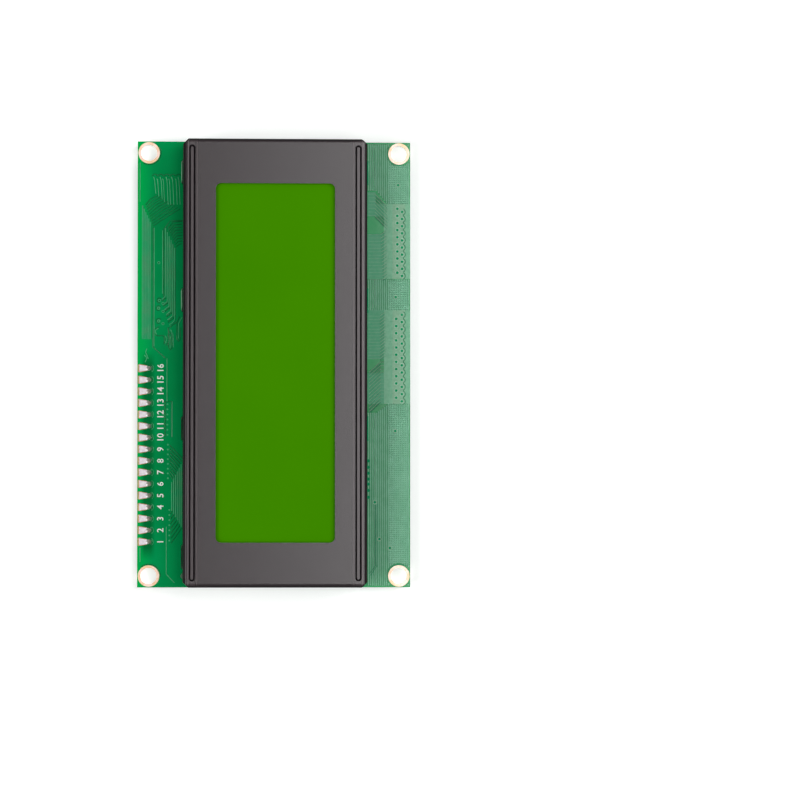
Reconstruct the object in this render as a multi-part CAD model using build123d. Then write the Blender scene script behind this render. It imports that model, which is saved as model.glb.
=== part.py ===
from build123d import *
import math
import os

os.makedirs("parts", exist_ok=True)

# Character display module, 20 characters by 4 lines, in millimetres.
# X runs along a line of characters, Y across the lines towards the connector
# edge, and Z out of the display face. The module lies on its back: z = 0 is
# at the free ends of the bezel's twisted tabs.

# Circuit board
board_length = 98.0
board_width = 60.0
board_thickness = 1.6
land_thickness = 0.05

# Fixing holes at the four corners
fixing_hole_diameter = 3.5
fixing_hole_inset = 2.5
fixing_land_diameter = 4.7

# Connector: one row of plated holes with lands that reach the board's edge
pin_count = 16
pin_pitch = 2.54
pin_hole_diameter = 1.0
pin_one_inset = 10.0
pin_row_inset = 2.5
pin_land_width = 1.8
pin_land_beyond_hole = 0.9
bare_land_edge_gap = 0.3
bare_land_edge_width = 1.7
bare_land_hole_width = 1.05
bare_land_past_hole_centre = 0.3

# Bezel: one stamped and folded steel sheet
sheet = 0.5
bezel_end_margin = 0.0
bezel_width = 40.2
bend_inner_radius = 0.4
corner_relief = 1.2
window_length = 78.4
window_width = 26.0
window_corner_radius = 1.2

# Pressed grooves that bear on the glass above the rubber strips
groove_end_margin = 1.4
groove_inset = 1.95
groove_width = 1.4
groove_depth = 0.4
groove_flank_angle = 45.0

# Hooked tabs that pass through the board and are wrung to hold the stack
tabs_per_side = 4
tab_end_inset = 6.7
tab_width = 5.0
tab_root_proud = 0.1
tab_neck_width = 1.8
tab_neck_height = 0.5
tab_twist_angle = 28.0
tab_twist_steps = 3
tab_head_height = 1.6
tab_head_straight = 2.3
tab_head_curled = 2.4
tab_curl_angle = 24.0
tab_curl_radius = 2.0
slot_end_clearance = 0.3
slot_side_clearance = 0.4
slot_inboard_shift = 0.1

# Locating lugs at two opposite corners of the bezel
lug_end_inset = 2.5
lug_width = 0.9
lug_short_of_back = 0.3
lug_hole_clearance = 0.14

# Soldering lands beside the tab slots
tab_land_length = 6.5
tab_land_width = 2.7
tab_land_gap = 0.15

# Display cell, from the bezel down
polariser_thickness = 0.2
polariser_overlap_end = 2.3
polariser_overlap_side = 2.0
glass_thickness = 1.1
glass_end_clearance = 0.7
glass_side_clearance = 0.3
rear_glass_ledge = 2.7
cell_seal_length = 4.0
cell_seal_thickness = 0.4

# Backlight: a white open tray with light-emitting chips and a diffusing film
film_thickness = 0.3
tray_height = 5.7
tray_end_setback = 2.8
tray_side_setback = 0.1
tray_wall = 1.0
tray_floor = 0.5
led_board_thickness = 0.8
led_board_clearance = 0.3
led_rows = 2
led_columns = 14
led_length = 1.6
led_width = 0.8
led_height = 0.6
led_end_margin = 3.25
led_side_margin = 7.9

# Backlight leads: square wire that runs through the tray's end and down through the board
lead_side = 0.5
lead_reach = 1.4
lead_spacing = 11.75
lead_bend_radius = 0.7
lead_past_back = 0.75
lead_inside_tray = 0.6
lead_hole_clearance = 0.1
lead_land_length = 2.2
lead_land_width = 3.0
solder_radius = 0.8
solder_height = 0.55
solder_skirt_run = 0.3
solder_skirt_height = 0.35

# Conductive rubber strips between the board and the glass ledges
strip_width = 2.0
strip_end_margin = 0.6
strip_inset = 0.25

# Epoxy-covered driver chips on the back: two stand a distance from the -X end
# of the board and three a distance from its +X end
dome_1_inset = 24.6
dome_1_y = 5.3
dome_1_radius = 6.6
dome_2_inset = 24.8
dome_2_y = -9.6
dome_2_radius = 5.75
dome_3_inset = 39.5
dome_3_y = 5.5
dome_3_radius = 5.65
dome_4_inset = 40.5
dome_4_y = -9.7
dome_4_radius = 5.5
dome_5_inset = 15.7
dome_5_y = 0.1
dome_5_radius = 5.5
dome_height = 1.75
dome_rim_run = 1.2
dome_rim_height = 0.95
die_side = 3.4
die_thickness = 0.4

# Chip resistors on the back
chip_length = 2.0
chip_width = 1.25
chip_height = 0.5
chip_cap = 0.04
chip_wrap = 0.45
chip_solder_reach = 0.75
chip_solder_foot = 0.1
chip_land_length = 1.3
chip_land_extra_width = 0.1
row_chip_count = 6
row_chip_pitch = 2.59
row_chip_inset = 6.9
row_chip_middle_y = 1.88
edge_chip_inset = 3.75
edge_chip_y = 13.2
lead_chip_inset = 7.3
lead_chip_y = 5.1

# Bare lands on the back for parts that are left out: an eight-lead package with
# a capacitor on each side of it, and three resistors
package_inset = 19.4
package_edge_inset = 5.7
capacitor_offset = 6.15
capacitor_land_length = 1.7
capacitor_land_width = 1.8
capacitor_land_pitch = 2.75
package_land_count = 4
package_land_pitch = 1.27
package_land_width = 0.65
package_land_length = 2.5
package_land_row_pitch = 5.3
resistor_land_length = 1.35
resistor_land_width = 1.55
resistor_land_pitch = 2.0
edge_land_inset = 1.6
edge_land_y = 6.05
low_land_inset = 4.6
low_land_y = -10.45
shared_land_inset = 1.5
shared_land_y = 11.9

# Levels that follow from the stack
board_back = tab_head_height + tab_neck_height + tab_root_proud
board_front = board_back + board_thickness
back_land = board_back - land_thickness
tray_top = board_front + tray_height
film_top = tray_top + film_thickness
rear_glass_bottom = film_top + polariser_thickness
rear_glass_top = rear_glass_bottom + glass_thickness
front_glass_top = rear_glass_top + glass_thickness
bezel_under = front_glass_top + groove_depth
bezel_top = bezel_under + sheet

# Lengths and places that follow from the sizes above
bezel_length = board_length - 2 * bezel_end_margin
cavity_length = bezel_length - 2 * sheet
cavity_width = bezel_width - 2 * sheet
wall_line = bezel_width / 2 - sheet / 2
slot_line = wall_line - slot_inboard_shift
groove_line = bezel_width / 2 - groove_inset
groove_length = bezel_length - 2 * groove_end_margin
glass_length = cavity_length - 2 * glass_end_clearance
front_glass_width = cavity_width - 2 * glass_side_clearance
rear_glass_width = front_glass_width - 2 * rear_glass_ledge
tray_length = glass_length - 2 * tray_end_setback
tray_width = rear_glass_width + 2 * tray_side_setback
lead_line = tray_length / 2 + lead_reach
pin_row_y = board_width / 2 - pin_row_inset
first_pin_x = pin_one_inset - board_length / 2
left_end = -board_length / 2
right_end = board_length / 2
epoxy_domes = [
    (left_end + dome_1_inset, dome_1_y, dome_1_radius),
    (left_end + dome_2_inset, dome_2_y, dome_2_radius),
    (right_end - dome_3_inset, dome_3_y, dome_3_radius),
    (right_end - dome_4_inset, dome_4_y, dome_4_radius),
    (right_end - dome_5_inset, dome_5_y, dome_5_radius),
]


def flat_prism(outline, low, high):
    """A flat outline drawn in X and Y, given its height from low to high."""
    return Pos(0, 0, low) * extrude(outline, amount=high - low)


def block(length, width, low, high, x=0.0, y=0.0):
    """A rectangular block centred on x and y."""
    return flat_prism(Pos(x, y) * Rectangle(length, width), low, high)


def group(solids):
    """Several separate solids kept as one node."""
    return Compound(children=[item for item in solids])


def pin_places():
    return [(first_pin_x + i * pin_pitch, pin_row_y) for i in range(pin_count)]


def fixing_places():
    x = board_length / 2 - fixing_hole_inset
    y = board_width / 2 - fixing_hole_inset
    return [(sx * x, sy * y) for sx in (-1, 1) for sy in (-1, 1)]


def tab_places():
    """Middle of each tab along X, with the side of the bezel that it is on."""
    outer = bezel_length / 2 - tab_end_inset
    pitch = 2 * outer / (tabs_per_side - 1)
    return [(-outer + i * pitch, side) for side in (-1, 1) for i in range(tabs_per_side)]


def lug_places():
    x = bezel_length / 2 - lug_end_inset
    return [(x, -wall_line), (-x, wall_line)]


def lead_places():
    return [(lead_line, side * lead_spacing / 2) for side in (-1, 1)]


def chip_places():
    """Centre of each fitted chip resistor, and the turn of its long axis from X."""
    first = row_chip_middle_y - row_chip_pitch * (row_chip_count - 1) / 2
    row_x = left_end + row_chip_inset
    row = [(row_x, first + i * row_chip_pitch, 0) for i in range(row_chip_count)]
    edge = (left_end + edge_chip_inset, edge_chip_y, 90)
    beside_lead = (right_end - lead_chip_inset, lead_chip_y, 90)
    return row + [edge, beside_lead]


def lead_hole():
    """Drilled hole that a square lead passes through."""
    return Circle(math.hypot(lead_side, lead_side) / 2 + lead_hole_clearance)


def circuit_board():
    """Glass-fibre board with every hole that is drilled or milled in it."""
    cuts = [Pos(x, y) * Circle(pin_hole_diameter / 2) for x, y in pin_places()]
    cuts += [Pos(x, y) * Circle(fixing_hole_diameter / 2) for x, y in fixing_places()]
    slot = SlotOverall(tab_width + 2 * slot_end_clearance, sheet + 2 * slot_side_clearance)
    cuts += [Pos(x, side * slot_line) * slot for x, side in tab_places()]
    lug_hole = math.hypot(lug_width, sheet) / 2 + lug_hole_clearance
    cuts += [Pos(x, y) * Circle(lug_hole) for x, y in lug_places()]
    cuts += [Pos(x, y) * lead_hole() for x, y in lead_places()]
    outline = Rectangle(board_length, board_width)
    for cut in cuts:
        outline -= cut
    return flat_prism(outline, board_back, board_front)


def hole_lands(x, y, hole_diameter, back_outline, front_outline):
    """The two lands of a hole, one on each face of the board."""
    hole = Pos(x, y) * Circle(hole_diameter / 2)
    back = flat_prism(back_outline - hole, back_land, board_back)
    front = flat_prism(front_outline - hole, board_front, board_front + land_thickness)
    return [back, front]


def pin_land(x, y, square):
    """Land from the board's edge to just past the hole, its inner end round or square."""
    reach = pin_row_inset + pin_land_beyond_hole
    land = Pos(x, board_width / 2 - reach / 2) * Rectangle(pin_land_width, reach)
    if square:
        return land
    corners = land.vertices().group_by(Axis.Y)[0]
    return fillet(corners, radius=min(pin_land_width, reach) / 2 * 0.98)


def bare_front_land(x, y):
    """The part of a land that the mask leaves bare on the front, narrower at the hole."""
    high = board_width / 2 - bare_land_edge_gap
    low = y + bare_land_past_hole_centre
    wide = bare_land_edge_width / 2
    narrow = bare_land_hole_width / 2
    return make_face(
        Polyline(
            (x - wide, high), (x + wide, high), (x + narrow, low), (x - narrow, low), close=True
        )
    )


def connector_lands():
    lands = []
    for index, (x, y) in enumerate(pin_places()):
        back = pin_land(x, y, square=index == 0)
        lands += hole_lands(x, y, pin_hole_diameter, back, bare_front_land(x, y))
    return group(lands)


def fixing_lands():
    rings = []
    for x, y in fixing_places():
        ring = Pos(x, y) * Circle(fixing_land_diameter / 2)
        rings += hole_lands(x, y, fixing_hole_diameter, ring, ring)
    return group(rings)


def tab_lands():
    """Oval tinning lands inboard of the slots, on the back of the board."""
    half_slot = sheet / 2 + slot_side_clearance
    y = slot_line - half_slot - tab_land_gap - tab_land_width / 2
    oval = SlotOverall(tab_land_length, tab_land_width)
    return group(
        [flat_prism(Pos(x, side * y) * oval, back_land, board_back) for x, side in tab_places()]
    )


def component_lands():
    """Lands under the fitted resistors, under the leads and of the unfitted parts."""
    outlines = []
    chip_land = Rectangle(chip_land_length, chip_width + chip_land_extra_width)
    land_offset = chip_length / 2 + chip_solder_reach - chip_land_length / 2
    for x, y, turn in chip_places():
        for end in (-1, 1):
            outlines.append(Pos(x, y) * Rot(0, 0, turn) * Pos(end * land_offset, 0) * chip_land)

    for x, y in lead_places():
        outlines.append(Pos(x, y) * (Rectangle(lead_land_length, lead_land_width) - lead_hole()))

    package_x = left_end + package_inset
    package_y = package_edge_inset - board_width / 2
    capacitor_land = Rectangle(capacitor_land_width, capacitor_land_length)
    for side in (-1, 1):
        for end in (-1, 1):
            y = package_y + end * capacitor_land_pitch / 2
            outlines.append(Pos(package_x + side * capacitor_offset, y) * capacitor_land)

    middle = (package_land_count - 1) / 2
    package_land = Rectangle(package_land_length, package_land_width)
    for i in range(package_land_count):
        for end in (-1, 1):
            x = package_x + end * package_land_row_pitch / 2
            outlines.append(Pos(x, package_y + (i - middle) * package_land_pitch) * package_land)

    small_land = Rectangle(resistor_land_width, resistor_land_length)
    for end in (-1, 1):
        along = end * resistor_land_pitch / 2
        outlines.append(Pos(left_end + edge_land_inset, edge_land_y + along) * small_land)
        outlines.append(Pos(left_end + low_land_inset, low_land_y + along) * small_land)
    outlines.append(Pos(left_end + shared_land_inset, shared_land_y) * small_land)
    return group([flat_prism(outline, back_land, board_back) for outline in outlines])


def groove_outline(margin):
    """Long round-ended outline of a groove, wider all round by margin."""
    return SlotOverall(groove_length + 2 * margin, groove_width + 2 * margin)


def wrung_tab(x, side):
    """Hooked tab: a wide root in the slot, a twisted neck at its outer end and a curled head."""
    y = side * wall_line
    outward = math.copysign(1.0, x)
    edge_x = x + outward * tab_width / 2
    root_end = board_back - tab_root_proud
    tab = block(tab_width, sheet, root_end, board_front, x, y)

    neck = Pos(-outward * tab_neck_width / 2, 0) * Rectangle(tab_neck_width, sheet)
    sections = []
    for step in range(tab_twist_steps + 1):
        share = step / tab_twist_steps
        turn = Rot(0, 0, outward * side * tab_twist_angle * share)
        sections.append(Pos(edge_x, y, root_end - tab_neck_height * share) * turn * neck)
    tab += loft(sections, ruled=True)

    first = math.radians(tab_twist_angle)
    second = math.radians(tab_twist_angle + tab_curl_angle)
    bend_u = tab_head_straight * math.cos(first)
    bend_v = tab_head_straight * math.sin(first)
    free_u = bend_u + tab_head_curled * math.cos(second)
    free_v = bend_v + tab_head_curled * math.sin(second)
    path = FilletPolyline(
        (edge_x, y),
        (edge_x - outward * bend_u, y - side * bend_v),
        (edge_x - outward * free_u, y - side * free_v),
        radius=tab_curl_radius,
    )
    return tab + flat_prism(trace(path, line_width=sheet), 0, tab_head_height)


def bezel():
    """Folded tray with mitred corners, window, pressed grooves, twisted tabs and lugs."""
    skin = block(bezel_length, bezel_width, board_front, bezel_top)
    top_edges = skin.edges().group_by(Axis.Z)[-1]
    skin = fillet(top_edges, radius=bend_inner_radius + sheet)
    cavity = block(cavity_length, cavity_width, board_front, bezel_under)
    ceiling_edges = cavity.edges().group_by(Axis.Z)[-1]
    cavity = fillet(ceiling_edges, radius=bend_inner_radius)
    body = skin - cavity

    notch = Rot(0, 0, 45) * Rectangle(corner_relief * math.sqrt(2), corner_relief * math.sqrt(2))
    for sx in (-1, 1):
        for sy in (-1, 1):
            corner = Pos(sx * bezel_length / 2, sy * bezel_width / 2) * notch
            body -= flat_prism(corner, board_front, bezel_top)

    window = RectangleRounded(window_length, window_width, window_corner_radius)
    body -= flat_prism(window, bezel_under, bezel_top)

    for side in (-1, 1):
        below = Pos(0, side * groove_line, bezel_under) * groove_outline(sheet / 2)
        above = Pos(0, side * groove_line, bezel_top) * groove_outline(0)
        body += extrude(below, amount=-groove_depth, taper=groove_flank_angle)
        body -= extrude(above, amount=-groove_depth, taper=groove_flank_angle)

    for x, side in tab_places():
        body += wrung_tab(x, side)
    for x, y in lug_places():
        body += block(lug_width, sheet, board_back + lug_short_of_back, board_front, x, y)
    return body


def front_polariser():
    length = window_length + 2 * polariser_overlap_end
    width = window_width + 2 * polariser_overlap_side
    return block(length, width, front_glass_top, front_glass_top + polariser_thickness)


def front_glass():
    return block(glass_length, front_glass_width, rear_glass_top, front_glass_top)


def rear_glass():
    return block(glass_length, rear_glass_width, rear_glass_bottom, rear_glass_top)


def rear_polariser():
    length = window_length + 2 * polariser_overlap_end
    width = window_width + 2 * polariser_overlap_side
    return block(length, width, film_top, rear_glass_bottom)


def cell_end_seal():
    """Cured plug over the filling gap at one end of the cell."""
    low = rear_glass_bottom + glass_thickness / 2
    high = rear_glass_top + glass_thickness / 2
    x = -(glass_length + cell_seal_thickness) / 2
    return block(cell_seal_thickness, cell_seal_length, low, high, x)


def diffuser_film():
    return block(tray_length, tray_width, tray_top, film_top)


def lead_path(y):
    """Centre line of one lead: along the tray's floor, round a bend and down."""
    start = tray_length / 2 - tray_wall - lead_inside_tray
    level = led_board_top() + lead_side / 2
    return FilletPolyline(
        (start, y, level),
        (lead_line, y, level),
        (lead_line, y, board_back - lead_past_back),
        radius=lead_bend_radius,
    )


def led_board_top():
    return board_front + tray_floor + led_board_thickness


def backlight_lead(y):
    path = lead_path(y)
    start = Plane(origin=path @ 0, x_dir=(0, 1, 0), z_dir=path % 0)
    return sweep(start * Rectangle(lead_side, lead_side), path=path)


def backlight_tray():
    """Open white box with a square hole in its end for each lead."""
    tray = block(tray_length, tray_width, board_front, tray_top)
    tray -= block(
        tray_length - 2 * tray_wall,
        tray_width - 2 * tray_wall,
        board_front + tray_floor,
        tray_top,
    )
    low = led_board_top()
    for side in (-1, 1):
        x = tray_length / 2 - tray_wall / 2
        y = side * lead_spacing / 2
        tray -= block(2 * tray_wall, lead_side, low, low + lead_side, x, y)
    return tray


def led_board_length():
    return tray_length - 2 * (tray_wall + led_board_clearance)


def led_board_width():
    return tray_width - 2 * (tray_wall + led_board_clearance)


def led_board():
    low = board_front + tray_floor
    return block(led_board_length(), led_board_width(), low, led_board_top())


def led_chips():
    """Rows of chips spread evenly between the margins of their board."""
    low = led_board_top()
    span_x = led_board_length() - 2 * led_end_margin - led_length
    span_y = led_board_width() - 2 * led_side_margin - led_width
    chips = []
    for row in range(led_rows):
        for column in range(led_columns):
            x = (column / (led_columns - 1) - 0.5) * span_x
            y = (row / (led_rows - 1) - 0.5) * span_y
            chips.append(block(led_length, led_width, low, low + led_height, x, y))
    return group(chips)


def mound(radius, height, skirt_run, skirt_height):
    """Low rounded drop: a crown arc that runs on smoothly into a steeper skirt."""
    crown = TangentArc((0, height), (radius - skirt_run, skirt_height), tangent=(1, 0))
    skirt = TangentArc(crown @ 1, (radius, 0), tangent=crown % 1)
    profile = make_face(crown + skirt + Polyline((radius, 0), (0, 0), (0, height)))
    return revolve(Plane.XZ * profile, axis=Axis.Z)


def lead_solder(x, y):
    """Rounded mound of solder round the lead, filling the hole about it."""
    joint = mound(solder_radius, solder_height, solder_skirt_run, solder_skirt_height)
    joint = Pos(x, y, back_land) * Rot(180, 0, 0) * joint
    joint += flat_prism(Pos(x, y) * lead_hole(), back_land, board_front)
    return joint - block(lead_side, lead_side, board_back - lead_past_back, board_front, x, y)


def rubber_strip(side):
    length = glass_length - 2 * strip_end_margin
    y = side * (front_glass_width / 2 - strip_inset - strip_width / 2)
    return block(length, strip_width, board_front, rear_glass_top, 0, y)


def driver_die(x, y):
    return block(die_side, die_side, board_back - die_thickness, board_back, x, y)


def epoxy_dome(x, y, radius):
    """Cured drop of resin, cast round its chip."""
    dome = mound(radius, dome_height, dome_rim_run, dome_rim_height)
    pocket = extrude(Rectangle(die_side, die_side), amount=die_thickness)
    return Pos(x, y, board_back) * Rot(180, 0, 0) * (dome - pocket)


def chip_frame(x, y, turn):
    """Frame on a resistor's lands, its Z pointing away from the board's back."""
    return Pos(x, y, back_land) * Rot(0, 0, turn) * Rot(180, 0, 0)


def chip_body(x, y, turn):
    core = Pos(0, 0, chip_cap) * extrude(Rectangle(chip_length, chip_width), amount=chip_height)
    return chip_frame(x, y, turn) * core


def chip_ends(x, y, turn):
    """The two soldered ends: a cap round the ceramic and a hollow slope of solder."""
    inner = chip_length / 2 - chip_wrap
    outer = chip_length / 2 + chip_cap
    top = chip_height + 2 * chip_cap
    foot = chip_length / 2 + chip_solder_reach
    slope_mid = (outer + (foot - outer) * 0.36, chip_solder_foot + (top - chip_solder_foot) * 0.36)
    edge = Polyline((outer, top), (inner, top), (inner, 0), (foot, 0), (foot, chip_solder_foot))
    edge += ThreePointArc((foot, chip_solder_foot), slope_mid, (outer, top))
    profile = Plane.XZ * make_face(edge)
    cap = extrude(profile, amount=chip_width / 2, both=True)
    cap -= Pos(0, 0, chip_cap) * extrude(Rectangle(chip_length, chip_width), amount=chip_height)
    other = Rot(0, 0, 180) * cap
    frame = chip_frame(x, y, turn)
    return group([frame * cap, frame * other])


nodes = {
    "circuit_board": circuit_board(),
    "connector_lands": connector_lands(),
    "fixing_lands": fixing_lands(),
    "tab_lands": tab_lands(),
    "component_lands": component_lands(),
    "bezel": bezel(),
    "front_polariser": front_polariser(),
    "front_glass": front_glass(),
    "rear_glass": rear_glass(),
    "rear_polariser": rear_polariser(),
    "cell_end_seal": cell_end_seal(),
    "diffuser_film": diffuser_film(),
    "backlight_tray": backlight_tray(),
    "led_board": led_board(),
    "led_chips": led_chips(),
    "rubber_strip_upper": rubber_strip(1),
    "rubber_strip_lower": rubber_strip(-1),
    "driver_dies": group([driver_die(x, y) for x, y, radius in epoxy_domes]),
}
for name, (x, y) in zip(("negative", "positive"), lead_places()):
    nodes["backlight_lead_" + name] = backlight_lead(y)
    nodes["lead_solder_" + name] = lead_solder(x, y)
for number, (x, y, radius) in enumerate(epoxy_domes, start=1):
    nodes[f"epoxy_dome_{number}"] = epoxy_dome(x, y, radius)
for number, place in enumerate(chip_places(), start=1):
    nodes[f"resistor_body_{number}"] = chip_body(*place)
    nodes[f"resistor_ends_{number}"] = chip_ends(*place)

for name, shape in nodes.items():
    export_step(shape, f"parts/{name}.step")
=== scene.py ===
import math

import bpy
from mathutils import Matrix, Vector


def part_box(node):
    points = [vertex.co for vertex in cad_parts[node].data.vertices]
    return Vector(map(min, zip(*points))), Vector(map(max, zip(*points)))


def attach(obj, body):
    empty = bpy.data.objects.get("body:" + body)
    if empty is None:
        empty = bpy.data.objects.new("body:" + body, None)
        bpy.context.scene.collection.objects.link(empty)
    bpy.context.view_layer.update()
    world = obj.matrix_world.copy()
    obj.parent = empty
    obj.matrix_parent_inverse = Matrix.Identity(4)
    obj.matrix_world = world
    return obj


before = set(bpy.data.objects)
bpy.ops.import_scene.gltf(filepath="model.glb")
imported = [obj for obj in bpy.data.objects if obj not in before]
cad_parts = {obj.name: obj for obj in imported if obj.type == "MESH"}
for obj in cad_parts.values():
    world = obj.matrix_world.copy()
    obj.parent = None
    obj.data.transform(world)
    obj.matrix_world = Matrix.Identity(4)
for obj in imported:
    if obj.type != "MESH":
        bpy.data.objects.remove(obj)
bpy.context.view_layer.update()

# Every size below is in millimetres, and mm turns it to metres. X runs along a
# line of characters, Y towards the connector edge, Z out of the display face.
mm = 0.001

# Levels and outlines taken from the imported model
board_low, board_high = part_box("circuit_board")
bezel_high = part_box("bezel")[1]
board_back = board_low.z / mm
board_front = board_high.z / mm
half_length = board_high.x / mm
half_width = board_high.y / mm

# Connector row
pin_count = 16
pin_pitch = 2.54
first_pin_x = -39.0
pin_row_y = 27.5

# Fixing holes
fixing_x = 46.5
fixing_y = 27.5
fixing_hole_radius = 1.75

# Which way a relief looks: out of the display side or out of the back
facing_front = 1
facing_back = -1

# Camera, worked out from the corners of the object in the 800 pixel photograph
camera_eye = Vector((-39.16, 33.35, 1021.3))
camera_target = Vector((-7.78, -27.75, 3.8))
camera_lens = 208.4
camera_sensor = 36.0


def linear(colour):
    """Linear red, green and blue, and full cover, of an sRGB hex colour."""
    parts = [int(colour[i : i + 2], 16) / 255 for i in (1, 3, 5)]
    curve = [c / 12.92 if c <= 0.04045 else ((c + 0.055) / 1.055) ** 2.4 for c in parts]
    return (*curve, 1.0)


def add_node(tree, kind, links=None, values=None, **settings):
    """Adds a node. Settings name its properties or inputs and links feed its inputs.

    Values set inputs that share one name, each by its place among the inputs.
    """
    node = tree.nodes.new("ShaderNode" + kind)
    for name, value in settings.items():
        if hasattr(node, name):
            setattr(node, name, value)
        else:
            node.inputs[name.replace("_", " ")].default_value = value
    for place, value in (values or {}).items():
        node.inputs[place].default_value = value
    for name, source in (links or {}).items():
        tree.links.new(source, node.inputs[name])
    return node


def new_material(name, base, roughness, **inputs):
    """A named material with one principled shader, its flat values set on the shader itself."""
    material = bpy.data.materials.new(name)
    material.use_nodes = True
    shader = material.node_tree.nodes["Principled BSDF"]
    shader.inputs["Base Color"].default_value = linear(base)
    shader.inputs["Roughness"].default_value = roughness
    for key, value in inputs.items():
        shader.inputs[key.replace("_", " ")].default_value = value
    return material, material.node_tree, shader


def object_place(tree):
    """The place on the object, in metres."""
    return add_node(tree, "TexCoord").outputs["Object"]


def noise(tree, size_mm, detail=2.0, stretch=(1, 1, 1)):
    """Noise whose grains are about size_mm across on the object."""
    place = add_node(tree, "Mapping", {"Vector": object_place(tree)}, Scale=stretch)
    pattern = add_node(
        tree, "TexNoise", {"Vector": place.outputs[0]}, Scale=1 / (size_mm * mm), Detail=detail
    )
    return pattern.outputs["Fac"]


def ramp(tree, factor, stops):
    """Colour that runs through the stops, each a factor and an sRGB hex colour."""
    node = add_node(tree, "ValToRGB", {"Fac": factor})
    while len(node.color_ramp.elements) < len(stops):
        node.color_ramp.elements.new(1.0)
    for element, (position, colour) in zip(node.color_ramp.elements, stops):
        element.position = position
        element.color = linear(colour)
    return node.outputs["Color"]


def blend(tree, factor, first, second, low=0.35, high=0.65):
    """Colour that goes from first to second as the factor goes from low to high."""
    return ramp(tree, factor, [(low, first), (high, second)])


def vary_roughness(tree, shader, factor, low, high):
    """Roughness that goes from low to high as the factor goes from 0 to 1."""
    spread = add_node(tree, "MapRange", {"Value": factor}, To_Min=low, To_Max=high)
    tree.links.new(spread.outputs[0], shader.inputs["Roughness"])


def bump(tree, shader, height, depth_mm):
    """Surface relief depth_mm deep from a height pattern of 0 to 1."""
    relief = add_node(tree, "Bump", {"Height": height}, Distance=depth_mm * mm, Strength=1.0)
    tree.links.new(relief.outputs[0], shader.inputs["Normal"])


def upwardness(tree):
    """1 where the surface looks up, 0 where it looks sideways and -1 where it looks down."""
    normal = add_node(tree, "NewGeometry").outputs["Normal"]
    return add_node(tree, "SeparateXYZ", {"Vector": normal}).outputs["Z"]


def by_face(tree, front, back):
    """The front colour on faces that look up and the back colour on all others."""
    up = upwardness(tree)
    is_front = add_node(tree, "Math", {0: up}, {1: 0.5}, operation="GREATER_THAN").outputs[0]
    return add_node(tree, "MixRGB", {"Fac": is_front, "Color1": back, "Color2": front}).outputs[0]


def connector_shade(tree, along, across):
    """1 on the mask round the connector's lands, and 0 past the ends and the sides of their row."""
    over_row = add_node(
        tree, "MapRange", {"Value": across}, From_Min=26.0 * mm, From_Max=30.0 * mm
    ).outputs[0]
    row_stops = [(0.0, "#000000"), (0.25, "#FFFFFF"), (0.6, "#FFFFFF"), (0.85, "#000000")]
    past_pins = add_node(
        tree, "MapRange", {"Value": along}, From_Min=-43.0 * mm, From_Max=3.0 * mm
    ).outputs[0]
    pin_stops = [(0.0, "#000000"), (0.06, "#FFFFFF"), (0.93, "#FFFFFF"), (1.0, "#000000")]
    shares = {0: ramp(tree, over_row, row_stops), 1: ramp(tree, past_pins, pin_stops)}
    return add_node(tree, "Math", shares, operation="MULTIPLY").outputs[0]


def cut_laminate(tree, across):
    """Pale routed edges, and painted shade on the walls of the holes along the connector's edge.

    The dark band lies between two Y levels, so it also crosses the board's two ends.
    """
    pale = blend(tree, noise(tree, 0.4), "#5FAE7E", "#93C79F")
    last_hole = {1: (half_width - 0.5) * mm}
    first_hole = {1: (pin_row_y - 0.6) * mm}
    inward = add_node(tree, "Math", {0: across}, last_hole, operation="LESS_THAN").outputs[0]
    outward = add_node(tree, "Math", {0: across}, first_hole, operation="GREATER_THAN").outputs[0]
    in_row = add_node(tree, "Math", {0: inward, 1: outward}, operation="MULTIPLY").outputs[0]
    # Painted shade: side faces in the band of the connector's holes are painted dark green
    painted_shade_in_holes = add_node(tree, "MixRGB", {"Fac": in_row, "Color1": pale}, Color2=linear("#06301C"))
    return painted_shade_in_holes.outputs[0]


def solder_mask():
    """Glass-fibre laminate under green photo-cured solder mask.

    The mask is a glossy lacquer, a little uneven, painted lighter along the connector's
    edge, away from the bezel's shade, and darker round its lands. Cut edges show the pale laminate.
    """
    material, tree, shader = new_material(
        "solder_mask_on_laminate", "#008A4B", 0.09, Specular_IOR_Level=0.36
    )
    cloud = noise(tree, 22.0, 3.0)
    plain = blend(tree, cloud, "#008645", "#009652")
    place = add_node(tree, "SeparateXYZ", {"Vector": object_place(tree)})
    along, across = place.outputs["X"], place.outputs["Y"]
    # Painted light: the mask is painted lighter towards the connector's edge, away from where the
    # bezel's shade falls
    at_edge = add_node(
        tree, "MapRange", {"Value": across}, From_Min=26.5 * mm, From_Max=29.3 * mm
    ).outputs[0]
    painted_light_edge = add_node(
        tree, "MixRGB", {"Fac": at_edge, "Color1": plain}, Color2=linear("#00A34B")
    ).outputs[0]
    shade = connector_shade(tree, along, across)
    front = add_node(
        tree, "MixRGB", {"Fac": shade, "Color1": painted_light_edge}, Color2=linear("#006B34")
    ).outputs[0]
    back = blend(tree, cloud, "#007F52", "#008B5E")
    faces = by_face(tree, front, back)
    tilt = add_node(tree, "Math", {0: upwardness(tree)}, operation="ABSOLUTE").outputs[0]
    is_side = add_node(tree, "Math", {0: tilt}, {1: 0.5}, operation="LESS_THAN").outputs[0]
    edges = cut_laminate(tree, across)
    colour = add_node(tree, "MixRGB", {"Fac": is_side, "Color1": faces, "Color2": edges})
    tree.links.new(colour.outputs[0], shader.inputs["Base Color"])
    bump(tree, shader, noise(tree, 1.2, 2.0), 0.002)
    return material


def gold_plated_copper(name, front_tones, back_tones):
    """Copper lands with a thin immersion gold finish: pale, warm and satin."""
    material, tree, shader = new_material(name, front_tones[0], 0.3, Metallic=0.35)
    patches = noise(tree, 1.6)
    front = blend(tree, patches, *front_tones, 0.42, 0.58)
    back = blend(tree, patches, *back_tones, 0.42, 0.58)
    tree.links.new(by_face(tree, front, back), shader.inputs["Base Color"])
    return material


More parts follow.
